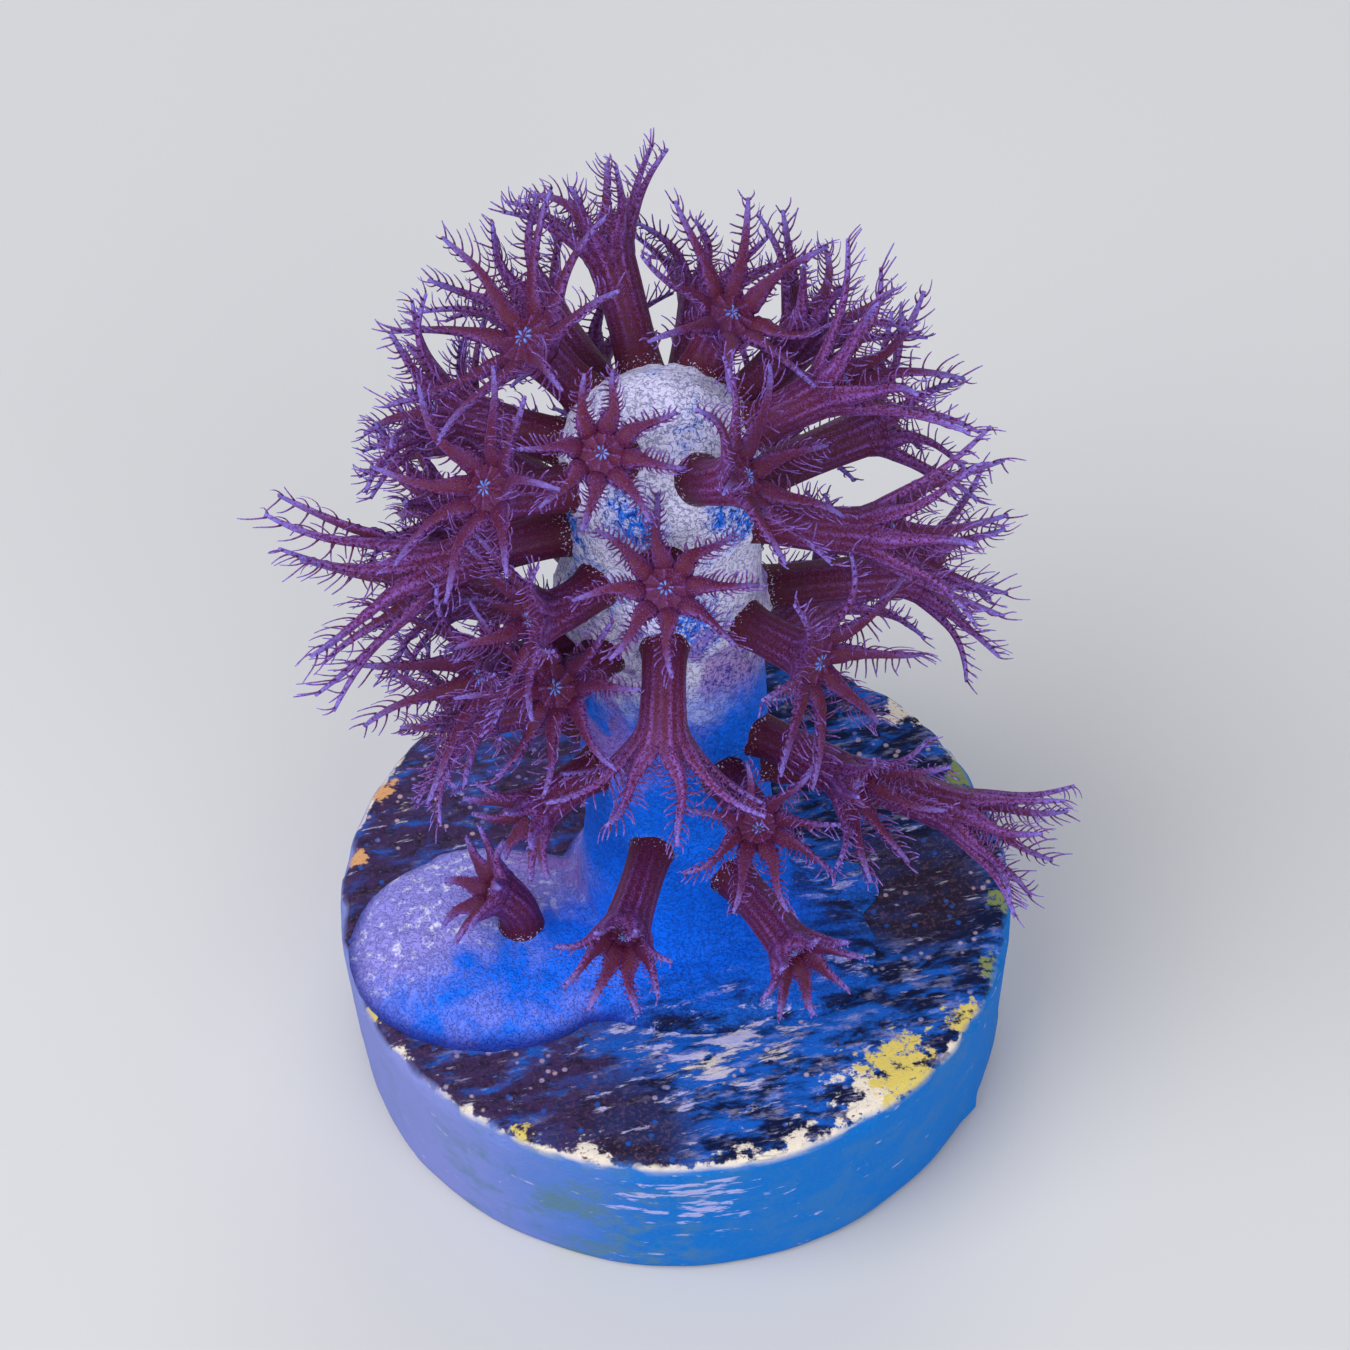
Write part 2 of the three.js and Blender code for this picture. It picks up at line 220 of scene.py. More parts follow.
class StemSettings(bpy.types.PropertyGroup):
    pale: colour("Pale", "Pale skin at the top", (0.72, 0.71, 1.0))
    blue: colour("Blue", "Blue patches", (0.008, 0.17, 0.9))
    deep: colour("Deep", "Lower stem and foot", (0.001, 0.15, 0.93))
    lavender: colour("Lavender", "The foot's lobe", (0.29, 0.27, 0.78))
    pink: colour("Pink", "Ridges halfway up the stem", (0.33, 0.17, 0.55))
    # Grain is also the colour of the painted shade along the foot's lower edge
    grain: colour("Grain", "Dark worm-like grain", (0.012, 0.022, 0.26))
    voxel: length("Voxel", "Fineness of the grown skin", 0.21)


class PolypSettings(bpy.types.PropertyGroup):
    wine: colour("Wine", "Columns and the arms' upper sides", (0.09, 0.006, 0.019))
    red: colour("Red", "Columns near their roots", (0.07, 0.003, 0.012))
    plum: colour("Plum", "Crown and arms", (0.088, 0.008, 0.042))
    # On the arms' margins and the web's edge the lilac is partly a painted rim highlight
    lilac: colour("Lilac", "Grains, margins and pinnules", (0.4, 0.18, 0.84))
    tip: colour("Tip", "Tips of the arms and pinnules", (0.25, 0.24, 0.9))
    star: colour("Star", "Mouth", (0.14, 0.32, 1.0))
    frost: colour("Frost", "Pale granules round a root", (0.6, 0.56, 0.9))
    pairs: IntProperty(name="Pinnule pairs", description="On each arm", default=12, min=4)
    reach: length("Pinnule length", "Length of a pinnule on a 6 mm arm", 0.92)
    thread: length("Pinnule thickness", "Radius of a pinnule", 0.043)


class StageSettings(bpy.types.PropertyGroup):
    floor: colour("Floor", "Plain pale floor", (0.6, 0.6, 0.61))
    key: FloatProperty(name="Key", description="Main soft light", default=1.9, unit="POWER")
    fill: FloatProperty(name="Fill", description="Second soft light", default=0.75, unit="POWER")


SETTINGS = {
    "fan_disc": DiscSettings,
    "fan_stem": StemSettings,
    "fan_polyps": PolypSettings,
    "fan_stage": StageSettings,
}


# ---------------------------------------------------------------- shading


class Shading:
    """One material's or group's node tree, with short ways to add what the tissues need."""

    def __init__(self, tree):
        self.tree = tree
        self.places = {}

    def add(self, kind, **values):
        node = self.tree.nodes.new(kind)
        for name, value in values.items():
            setattr(node, name, value)
        return node

    def feed(self, socket, value):
        if isinstance(value, bpy.types.NodeSocket):
            self.tree.links.new(value, socket)
        elif isinstance(value, (tuple, Color)):
            socket.default_value = (*value, 1.0)
        else:
            socket.default_value = value

    def math(self, operation, a, b=0.0, c=0.0, clamp=False):
        node = self.add("ShaderNodeMath", operation=operation, use_clamp=clamp)
        for socket, value in zip(node.inputs, (a, b, c)):
            self.feed(socket, value)
        return node.outputs[0]

    def times(self, a, b):
        return self.math("MULTIPLY", a, b)

    def linear(self, value, slope, base):
        return self.math("MULTIPLY_ADD", value, slope, base)

    def ramp(self, value, low, high):
        """0 up to low, 1 from high on, smooth between. Low may be above high."""
        node = self.add("ShaderNodeMapRange", interpolation_type="SMOOTHSTEP")
        for socket, given in zip(node.inputs, (value, low, high, 0.0, 1.0)):
            self.feed(socket, given)
        return node.outputs[0]

    def mix(self, share, a, b, strength=None):
        """From a to b by the share, times the strength if one is given."""
        node = self.add("ShaderNodeMix", data_type="RGBA")
        self.feed(node.inputs[0], share if strength is None else self.times(share, strength))
        self.feed(node.inputs[6], a)
        self.feed(node.inputs[7], b)
        return node.outputs[2]

    def place(self, stretch=(1, 1, 1), turn=0, shift=(0, 0, 0)):
        """Object coordinates in millimetres. A pattern on them is drawn out, turned and shifted."""
        key = (stretch, turn, shift)
        if key not in self.places:
            mapping = self.add("ShaderNodeMapping", vector_type="TEXTURE")
            mapping.inputs["Scale"].default_value = [s * MM for s in stretch]
            mapping.inputs["Location"].default_value = [s * MM for s in shift]
            mapping.inputs["Rotation"].default_value[2] = math.radians(turn)
            source = self.add("ShaderNodeTexCoord").outputs["Object"]
            self.tree.links.new(source, mapping.inputs["Vector"])
            self.places[key] = mapping.outputs[0]
        return self.places[key]

    def noise(self, size, detail=3.0, rough=0.55, warp=0.0, where=None):
        node = self.add("ShaderNodeTexNoise")
        self.feed(node.inputs["Vector"], self.place() if where is None else where)
        given = {"Scale": 1.0 / size, "Detail": detail, "Roughness": rough, "Distortion": warp}
        for name, value in given.items():
            node.inputs[name].default_value = value
        return node.outputs["Fac"]

    def cells(self, scale):
        """The distance to the nearest of many scattered points."""
        node = self.add("ShaderNodeTexVoronoi")
        self.feed(node.inputs["Vector"], self.place())
        self.feed(node.inputs["Scale"], scale)
        return node.outputs["Distance"]

    def worms(self, size):
        """Thin wandering lines."""
        field = self.noise(size, 1.5, 0.5, 0.6)
        off = self.math("ABSOLUTE", self.math("SUBTRACT", field, 0.5))
        return self.ramp(off, 0.035, 0.035 * 0.35)

    def spot(self, centre, radius, soft=0.5, ragged=None, depth=0.0):
        """1 inside a ball about a point of the object, fading to 0 at its rim."""
        node = self.add("ShaderNodeVectorMath", operation="DISTANCE")
        self.tree.links.new(self.place(), node.inputs[0])
        node.inputs[1].default_value = centre
        away = node.outputs["Value"]
        if ragged is not None:
            away = self.linear(self.math("SUBTRACT", ragged, 0.5), -2 * depth, away)
        return self.ramp(away, radius, radius * (1 - soft))

    def patch(self, x, y, *given):
        """A spot on top of the disc."""
        return self.spot((x, y, DISC_TOP), *given)

    def most(self, *masks):
        """The strongest of several masks."""
        found = masks[0]
        for mask in masks[1:]:
            found = self.math("MAXIMUM", found, mask)
        return found

    def attribute(self, name):
        return self.add("ShaderNodeAttribute", attribute_name=name).outputs["Fac"]

    def group(self, name, **values):
        """A shared group, which is made when it is first wanted."""
        tree = bpy.data.node_groups.get(name) or GROUPS[name]()
        node = self.add("ShaderNodeGroup", node_tree=tree)
        for name, value in values.items():
            self.feed(node.inputs[name], value)
        return node


def new_group(name, inputs, outputs):
    tree = bpy.data.node_groups.new(name, "ShaderNodeTree")
    for label, kind, default in inputs:
        tree.interface.new_socket(label, in_out="INPUT", socket_type=kind).default_value = default
    for label, kind in outputs:
        tree.interface.new_socket(label, in_out="OUTPUT", socket_type=kind)
    return tree


def sclerite_group():
    """Fine pale grains in the tissue: a mask and a height for bump."""
    tree = new_group(
        "Sclerite Grain",
        [("Size", "NodeSocketFloat", 0.1), ("Cover", "NodeSocketFloat", 0.5)],
        [("Mask", "NodeSocketFloat"), ("Height", "NodeSocketFloat")],
    )
    s = Shading(tree)
    into, out = s.add("NodeGroupInput"), s.add("NodeGroupOutput")
    grain = s.ramp(s.cells(s.math("DIVIDE", 1.0, into.outputs["Size"])), 0.44, 0.12)
    few = s.ramp(s.noise(0.35, 2.0), s.math("SUBTRACT", 0.95, into.outputs["Cover"]), 0.8)
    s.feed(out.inputs["Mask"], s.times(grain, few))
    s.feed(out.inputs["Height"], grain)
    return tree


def streak_group():
    """Level streaks of film and crust, and finer dashes over them."""
    tree = new_group(
        "Crust Streaks",
        [("Fineness", "NodeSocketFloat", 1.0)],
        [("Streaks", "NodeSocketFloat"), ("Dashes", "NodeSocketFloat")],
    )
    s = Shading(tree)
    into, out = s.add("NodeGroupInput"), s.add("NodeGroupOutput")
    for name, stretch, turn, size in (("Streaks", 2.7, 10, 0.85), ("Dashes", 3.6, 11, 0.5)):
        where = s.add("ShaderNodeVectorMath", operation="SCALE")
        s.feed(where.inputs[0], s.place((stretch, 1, 2), turn))
        s.feed(where.inputs["Scale"], into.outputs["Fineness"])
        s.feed(out.inputs[name], s.noise(size, 5.0, 0.66, 0.3, where.outputs[0]))
    return tree


GROUPS = {"Sclerite Grain": sclerite_group, "Crust Streaks": streak_group}


def new_material(name):
    """A fresh material, its tree and its Principled shader."""
    material = bpy.data.materials.new(name)
    material.use_nodes = True
    shader = material.node_tree.nodes["Principled BSDF"]
    return material, Shading(material.node_tree), shader


def bump(s, shader, height, distance, strength=1.0):
    node = s.add("ShaderNodeBump")
    s.feed(node.inputs["Height"], height)
    s.feed(node.inputs["Distance"], distance * MM)
    s.feed(node.inputs["Strength"], strength)
    s.tree.links.new(node.outputs["Normal"], shader.inputs["Normal"])


def soften(shader, shine, weight, radius, scale):
    """A little shine, and light that sinks into the tissue."""
    shader.inputs["Specular IOR Level"].default_value = shine
    shader.inputs["Subsurface Weight"].default_value = weight
    shader.inputs["Subsurface Radius"].default_value = radius
    shader.inputs["Subsurface Scale"].default_value = scale * MM


def polyp_material(values):
    material, s, shader = new_material("Polyp tissue")
    lilac, red, star, tip = (s.attribute(n) for n in ("lilac", "red", "star", "tip"))
    blotch = s.noise(1.1, 3.0)
    fine = s.noise(0.12, 2.0, 0.7)
    flesh = s.mix(s.ramp(blotch, 0.38, 0.62), values.wine, values.plum)
    flesh = s.mix(red, flesh, values.red)
    # Where the lilac tint marks the arms' margins and the web's edge, it is partly a painted rim
    # highlight
    pale = s.math("MULTIPLY", lilac, s.ramp(fine, 0.35, 0.62), clamp=True)
    skin = s.mix(pale, flesh, values.lilac, 0.74)
    grains = s.group("Sclerite Grain", Size=0.105, Cover=0.88)
    dots = s.times(grains.outputs["Mask"], s.linear(lilac, 0.5, 0.36))
    dots = s.times(dots, s.linear(red, -0.75, 1.0))
    skin = s.mix(dots, skin, values.lilac)
    skin = s.mix(s.times(tip, s.ramp(fine, 0.2, 0.55)), skin, values.tip)
    broken = s.ramp(s.noise(0.3, 2.0, 0.7), 0.38, 0.52)
    skin = s.mix(s.times(star, broken), skin, values.star)
    crumbs = s.ramp(s.linear(red, 0.5, s.noise(0.11, 2.0, 0.6)), 1.09, 1.17)
    skin = s.mix(crumbs, skin, values.frost)
    s.feed(shader.inputs["Base Color"], skin)
    s.feed(shader.inputs["Roughness"], s.linear(fine, 0.25, 0.4))
    soften(shader, 0.2, 0.08, (0.5, 0.2, 0.4), 0.3)
    bump(s, shader, s.math("ADD", grains.outputs["Height"], fine), 0.035, 0.9)
    return material


class Fields:
    """The object's axes, and the noises that a material's patterns hang on."""

    def __init__(self, s, **noises):
        axes = s.add("ShaderNodeSeparateXYZ")
        s.tree.links.new(s.place(), axes.inputs[0])
        self.x, self.y, self.z = axes.outputs
        for name, values in noises.items():
            setattr(self, name, s.noise(*values))


def finger_skin(s, f, values):
    """The finger's colours, and the mask of its blue patches, which fray into grains."""
    patches = s.linear(f.small, 0.3, s.linear(f.fine, 0.4, f.blotch))
    near = s.most(*(s.spot(centre, radius, 0.9) for centre, radius in BLUE_PATCHES))
    down = s.ramp(f.height, 33.0, 19.0)
    wanted = s.linear(near, 0.3, s.times(down, 0.1))
    patches = s.ramp(s.math("ADD", patches, wanted), 0.9, 1.2)
    broken = s.ramp(s.noise(0.26, 2.0, 0.75), 0.62, 0.48)
    patches = s.times(patches, s.linear(broken, 0.75, 0.25))
    skin = s.mix(patches, values.pale, values.blue)
    # Halfway up it blushes pink, and below that all of it is deep blue
    blush = s.times(s.ramp(f.height, 24.5, 21.0), s.ramp(f.blotch, 0.42, 0.56))
    skin = s.mix(blush, skin, values.pink, 0.75)
    low = s.ramp(s.linear(f.small, 2.0, f.height), 21.0, 17.0)
    skin = s.mix(low, skin, values.deep)
    ridge = s.spot((-3.6, -3.0, DISC_TOP + 15.0), 6.0, 0.9)
    ridge = s.times(ridge, s.ramp(f.blotch, 0.46, 0.6))
    return s.mix(ridge, skin, values.pink, 0.8), patches


def foot_skin(s, f, values, skin):
    """The foot's lobe, lavender behind and to the left and fading into deep blue. The lavender and pale
    patches on its upper left are partly painted light.
    """
    lobe = s.ramp(s.linear(f.blotch, 5.0, f.x), -0.5, -4.0)
    back = s.linear(f.x, -0.42, s.linear(f.blotch, 4.0, f.y))
    back = s.ramp(back, 0.2, 3.0)
    foot = s.ramp(f.z, 14.0, 12.0)
    mottle = s.ramp(s.linear(f.fine, 0.4, f.blotch), 0.55, 0.85)
    mottle = s.times(s.times(mottle, foot), s.ramp(f.x, -1.0, -6.0))
    skin = s.mix(mottle, skin, values.lavender, 0.5)
    # Partly painted light: over the lobe's own lavender, its upper left is painted lavender and pale
    # where the light falls
    lobe = s.times(s.times(lobe, back), foot)
    skin = s.mix(lobe, skin, values.lavender)
    skin = s.mix(s.times(lobe, s.ramp(f.small, 0.52, 0.7)), skin, values.pale)
    blush = s.times(s.spot((-5.5, 0.8, 10.5), 4.5, 0.8), s.ramp(f.blotch, 0.4, 0.6))
    return s.mix(blush, skin, values.pink, 0.8)


def thin_skin(s, f, film, skin):
    """The skin with the crust's streaks where it thins out over the disc, and the mask of the rest."""
    streaks = s.group("Crust Streaks", Fineness=1.0)
    lifted = s.linear(streaks.outputs["Streaks"], 1.6, f.z)
    thin = s.times(s.ramp(lifted, DISC_TOP + 2.1, DISC_TOP + 1.0), s.ramp(f.x, -3.5, -0.5))
    crust = s.mix(s.ramp(streaks.outputs["Streaks"], 0.4, 0.58), film.navy, film.film)
    crust = s.mix(s.ramp(streaks.outputs["Dashes"], 0.56, 0.66), crust, film.dash)
    return s.mix(thin, skin, crust), s.math("SUBTRACT", 1.0, thin)


def stem_material(values, film):
    material, s, shader = new_material("Stem tissue")
    f = Fields(
        s, broad=(5.0, 3.0), blotch=(2.4, 4.0, 0.6, 0.5), small=(0.55, 3.0, 0.65),
        fine=(0.17, 2.0, 0.7),
    )
    f.height = s.linear(f.broad, 7.0, s.math("SUBTRACT", f.z, DISC_TOP + 3.5))
    skin, patches = finger_skin(s, f, values)
    skin = foot_skin(s, f, values, skin)
    skin, full = thin_skin(s, f, film, skin)
    # Dark worm-like lines and specks are strongest on the finger
    marks = s.most(s.worms(0.36), s.ramp(f.fine, 0.58, 0.68))
    upper = s.ramp(f.height, 14.0, 20.0)
    amount = s.linear(patches, 0.45, 0.5)
    amount = s.times(amount, s.linear(upper, 0.55, 0.45))
    skin = s.mix(s.times(marks, amount), skin, values.grain)
    # Pale crumbs lie on the collars. Painted shade darkens the lobe's lower edge, and a painted shadow
    # darkens one pit in front
    crumbs = s.ramp(s.linear(s.attribute("collar"), 0.35, f.fine), 0.8, 0.95)
    crumbs = s.times(crumbs, s.linear(upper, 0.6, 0.2))
    skin = s.mix(crumbs, skin, values.pale)
    painted_edge_shade = s.times(s.attribute("shade"), full)
    skin = s.mix(s.ramp(painted_edge_shade, 0.1, 0.8), skin, values.grain, 0.85)
    painted_pit_shadow = s.spot((2.0, -3.4, DISC_TOP + 1.0), 1.5, 0.7, f.small, 0.8)
    skin = s.mix(painted_pit_shadow, skin, film.navy, 0.8)
    s.feed(shader.inputs["Base Color"], skin)
    s.feed(shader.inputs["Roughness"], s.linear(f.small, 0.3, 0.5))
    soften(shader, 0.15, 0.1, (0.5, 0.5, 0.9), 0.4)
    grains = s.group("Sclerite Grain", Size=0.15, Cover=0.8)
    rise = s.math("ADD", grains.outputs["Height"], s.math("SUBTRACT", f.small, marks))
    bump(s, shader, rise, 0.06, 0.9)
    return material


def film_and_growth(s, f, values):
    """The top's azure film near the stem, navy beyond it, and brown crust at its sides."""
    lit = s.linear(s.patch(0.5, -5.5, 12.0, 0.9), 0.16, f.lines)
    top = s.mix(s.ramp(lit, 0.45, 0.64), values.navy, values.film)
    haze = s.noise(0.5, 4.0, 0.7, where=s.place((3.0, 1, 1), 10, (2, 4, 0)))
    top = s.mix(s.ramp(haze, 0.5, 0.72), top, values.dash, 0.4)
    left = s.ramp(s.linear(f.broad, -9.0, f.x), -5.0, -9.5)
    patch = s.patch(11.2, -0.6, 4.2, 0.4, f.lines, 2.5)
    front = s.patch(-3.0, -14.0, 4.5, 0.6, f.lines, 2.0)
    brown = s.most(s.times(left, s.ramp(f.lines, 0.62, 0.46)), patch, front)
    growth = s.mix(s.ramp(f.fine, 0.5, 0.75), values.growth, values.rust)
    top = s.mix(brown, top, growth, 0.85)
    murk = s.times(left, s.ramp(f.small, 0.3, 0.6))
    return s.mix(murk, top, values.murk, 0.65)


def dashes_and_dots(s, f, values, top):
    """The top with pale dashes, thickest in front of the stem, and dots. Also gives the dashes."""
    thick = s.linear(s.patch(1.0, -7.5, 8.5, 0.9), 0.11, f.dashes)
    thick = s.linear(s.patch(1.5, -9.0, 4.5, 0.9), 0.06, thick)
    dash = s.ramp(thick, 0.61, 0.69)
    warm = s.mix(s.ramp(f.broad, 0.5, 0.66), values.dash, values.cream)
    top = s.mix(dash, top, warm, 0.8)
    dots = s.ramp(s.cells(1.45), 0.24, 0.12)
    hue = s.mix(f.small, values.dash, values.orange)
    hue = s.mix(s.ramp(f.broad, 0.45, 0.58), values.film, hue)
    top = s.mix(dots, top, hue, 0.7)
    return s.mix(s.ramp(f.fine, 0.58, 0.7), top, values.navy, 0.35), dash


def rim_crusts(s, f, values, top):
    """The top with a thin cream line along its rim, and crusts of other colours on that."""
    radius = s.math("SQRT", s.math("ADD", s.math("POWER", f.x, 2.0), s.math("POWER", f.y, 2.0)))
    ragged = s.linear(s.math("SUBTRACT", f.small, 0.5), 0.9, radius)
    ahead = s.patch(0.0, -DISC_RADIUS, 15.0, 0.8)
    whole = s.linear(ahead, 0.16, f.broad)
    line = s.times(s.ramp(ragged, 15.6, 15.76), s.ramp(whole, 0.49, 0.57))
    top = s.mix(line, top, values.cream)
    torn = s.linear(f.lines, 0.5, s.times(f.small, 0.5))
    for across, along, size, name in RIM_CRUST:
        near = s.patch(across, along, size * 0.66, 0.5, torn, size * 2.2)
        near = s.times(near, s.ramp(f.fine, 0.3, 0.42))
        top = s.mix(near, top, getattr(values, name))
    return top


def side_wall(s, f, values):
    """Pale on the left to blue on the right, with dull patches and faint scratches. The paler left is
    partly painted light falling from the left.
    """
    # Partly painted light: the wall's blue film is painted paler towards the left, where the light
    # falls
    across = s.ramp(s.linear(f.broad, 6.0, f.x), -9.5, 2.5)
    side = s.mix(across, values.pale, values.blue)
    patchy = s.noise(2.6, 4.0, 0.65, where=s.place((1, 1, 0.8), 0, (3, 0, 0)))
    middle = s.spot((-5.5, -15.0, 3.0), 9.0, 0.8)
    dull = s.times(s.ramp(patchy, 0.45, 0.65), s.linear(middle, 0.7, 0.2))
    side = s.mix(dull, side, values.dull)
    scratch = s.noise(0.42, 3.0, 0.6, 0.3, s.place((3.6, 3.6, 1)))
    under = s.linear(s.spot((0.0, -DISC_RADIUS, 6.6), 6.0, 0.8), 0.14, scratch)
    side = s.mix(s.ramp(under, 0.66, 0.75), side, values.dash, 0.7)
    return s.mix(s.ramp(f.fine, 0.45, 0.75), side, values.pale, 0.1)


def disc_material(values):
    material, s, shader = new_material("Crusted cement")
    crust = s.attribute("crust")
    f = Fields(
        s, broad=(3.2, 4.0, 0.6, 0.0, s.place((2, 1, 1))), small=(0.6, 3.0, 0.65),
        fine=(0.2, 3.0, 0.7),
    )
    streaks = s.group("Crust Streaks", Fineness=1.0)
    f.lines, f.dashes = streaks.outputs["Streaks"], streaks.outputs["Dashes"]
    top = film_and_growth(s, f, values)
    top, dash = dashes_and_dots(s, f, values, top)
    top = rim_crusts(s, f, values, top)
    s.feed(shader.inputs["Base Color"], s.mix(crust, side_wall(s, f, values), top))
    s.feed(shader.inputs["Roughness"], s.linear(f.fine, 0.25, 0.6))
    shader.inputs["Specular IOR Level"].default_value = 0.12
    rise = s.linear(crust, s.math("ADD", f.lines, dash), f.fine)
    bump(s, shader, rise, 0.12, 0.7)
    return material


# ---------------------------------------------------------------- shapes


def turned(profile, steps):
    """A closed shape turned about Z from points of (radius, height)."""
    bm = bmesh.new()
    chain = [bm.verts.new((radius, 0.0, height)) for radius, height in profile]
    edges = [bm.edges.new(pair) for pair in zip(chain, chain[1:])]
    bmesh.ops.spin(
        bm, geom=chain + edges, cent=(0, 0, 0), axis=(0, 0, 1), dvec=(0, 0, 0),
        angle=2 * math.pi, steps=steps, use_merge=True, use_duplicate=False,
    )
    bmesh.ops.remove_doubles(bm, verts=bm.verts, dist=1e-5)
    bmesh.ops.recalc_face_normals(bm, faces=bm.faces)
    return bm


def rod(sides, rings):
    """A closed rod of radius 1 along Z from 0 to 1, in even rings."""
    bm = bmesh.new()
    bmesh.ops.create_cone(
        bm, cap_ends=True, cap_tris=True, segments=sides, radius1=1, radius2=1, depth=1
    )
    bmesh.ops.translate(bm, verts=bm.verts, vec=(0, 0, 0.5))
    long_edges = [e for e in bm.edges if abs(e.verts[0].co.z - e.verts[1].co.z) > 0.5]
    bmesh.ops.subdivide_edges(bm, edges=long_edges, cuts=rings - 1, use_grid_fill=True)
    bmesh.ops.recalc_face_normals(bm, faces=bm.faces)
    return bm


def to_mesh(bm, name):
    mesh = bpy.data.meshes.new(name)
    bm.to_mesh(mesh)
    bm.free()
    return mesh


def vectors_of(mesh, what="co"):
    found = np.empty(len(mesh.vertices) * 3)
    mesh.vertices.foreach_get(what, found)
    return found.reshape(-1, 3)


def tint(mesh, name, values):
    attribute = mesh.attributes.new(name, "FLOAT", "POINT")
    attribute.data.foreach_set("value", np.asarray(values, np.float32))


def finish_piece(mesh, name, material, node):
    """Puts a finished mesh in the scene in place of its CAD node."""
    mesh.polygons.foreach_set("use_smooth", np.ones(len(mesh.polygons), bool))
    mesh.materials.append(material)
    mesh.update()
    piece = bpy.data.objects.new(name, mesh)
    bpy.context.scene.collection.objects.link(piece)
    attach(piece, "root")
    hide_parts(node)
    return piece


def unit(v):
    return v / np.linalg.norm(v, axis=-1, keepdims=True)


def blend(*parts):
    """The sum of directions, each times its own amounts."""
    return sum(direction * amount[:, None] for direction, amount in parts)


def bezier(controls, t):
    """Points and directions along the curve that three or four points shape."""
    t = np.asarray(t, float)[:, None]
    rows = [np.broadcast_to(point, (len(t), 3)) for point in controls]
    while len(rows) > 2:
        rows = [a + (b - a) * t for a, b in zip(rows, rows[1:])]
    return rows[0] + (rows[1] - rows[0]) * t, unit(rows[1] - rows[0])


# ---------------------------------------------------------------- polyps


class Lines:
    """A polyp's root, way out of the stem, length, crown, facing and its arms' curves."""

    def __init__(self, node):
        bm = bmesh.new()
        bm.from_mesh(node.data)
        bmesh.ops.remove_doubles(bm, verts=bm.verts, dist=0.001 * MM)
        place = {v: np.array(v.co) / MM for v in bm.verts}
        near = {v: [e.other_vert(v) for e in v.link_edges] for v in bm.verts}

        def spoke(v):
            return np.mean([np.linalg.norm(place[v] - place[n]) for n in near[v]])

        hubs = [v for v in bm.verts if len(near[v]) == ARMS]
        pole = min(hubs, key=lambda v: abs(spoke(v) - ROOT_SPOKE))
        ring = set(near[pole])
        second = {n for v in ring for n in near[v]} - ring - {pole}
        if abs(spoke(pole) - ROOT_SPOKE) > ROOT_MISS or len(second) != ARMS:
            raise RuntimeError(f"{node.name}: no root ring found")
        self.root = np.mean([place[v] for v in ring], axis=0)
        self.out = unit(self.root - place[pole])
        self._find_crown(np.mean([place[v] for v in second], axis=0))
        self._find_arms(bm, place, near, node.name)
        bm.free()

    def _find_crown(self, halfway):
        """The column's length and end, from the middle of its curve, whose two legs are equal."""
        reach = 4 * (halfway - self.root)
        forward = reach @ self.out
        inside = max(0.0, 9 * forward**2 - 8 * reach @ reach)
        self.length = (3 * forward - math.sqrt(inside)) / 4
        self.bend = self.root + self.out * self.length / 2
        self.crown = reach + self.root - 2 * self.out * self.length / 2
        self.facing = unit(self.crown - self.bend)

    def _find_arms(self, bm, place, near, name):
        """Each arm's curve, from its pointed tip and the ring halfway along it."""
        arms = []
        for v in bm.verts:
            ring = near[v]
            if len(ring) != 3 or not all(b in near[a] for a in ring for b in ring if a is not b):
                continue
            spokes = [np.linalg.norm(place[v] - place[n]) for n in ring]
            if min(spokes) > TIP_SPOKE:
                arms.append((place[v], np.mean([place[n] for n in ring], axis=0)))
        if len(arms) != ARMS:
            raise RuntimeError(f"{name}: {len(arms)} arms found")
        up = np.array((0, 0, 1.0)) - self.facing * self.facing[2]
        up = unit(up)
        across = np.cross(self.facing, up)
        angles = [math.atan2((h - self.crown) @ across, (h - self.crown) @ up) for _, h in arms]
        order = np.argsort(angles)
        step = 2 * math.pi / ARMS
        swing = [angles[j] - step * k for k, j in enumerate(order)]
        twist = math.atan2(np.mean(np.sin(swing)), np.mean(np.cos(swing)))
        self.twist_axis = up * math.cos(twist) + across * math.sin(twist)
        self.arms = []
        for k, j in enumerate(order):
            turn = twist + step * k
            out = up * math.cos(turn) + across * math.sin(turn)
            tip, half = arms[j]
            seat, foot, rim = (
                self.crown + away * out + ahead * self.facing
                for away, ahead in (ARM_SEAT, ARM_FOOT, ARM_RIM)
            )
            middle = 2 * (half - 0.25 * seat - 0.25 * tip)
            self.arms.append(((foot, rim, middle, tip), np.cross(self.facing, out)))


def body_template():
    """A closed tube with one ring, at its own whole height, for each point of the outline."""
    last = len(SHAFT + WEB + MOUTH) - 1
    rings = [(1.0, float(ring)) for ring in range(1, last)]
    return turned([(0.0, 0.0), *rings, (0.0, float(last))], 6 * ARMS)


def span_of(controls):
    return sum(np.linalg.norm(b - a) for a, b in zip(controls, controls[1:]))


def arm_line(controls, side, t):
    """Place, forward, side and upper side of an arm's middle line at t."""
    point, forward = bezier(controls, np.asarray(t) * ARM_END)
    level = unit(side - forward * np.sum(forward * side, axis=-1, keepdims=True))
    return point, forward, level, np.cross(forward, level)


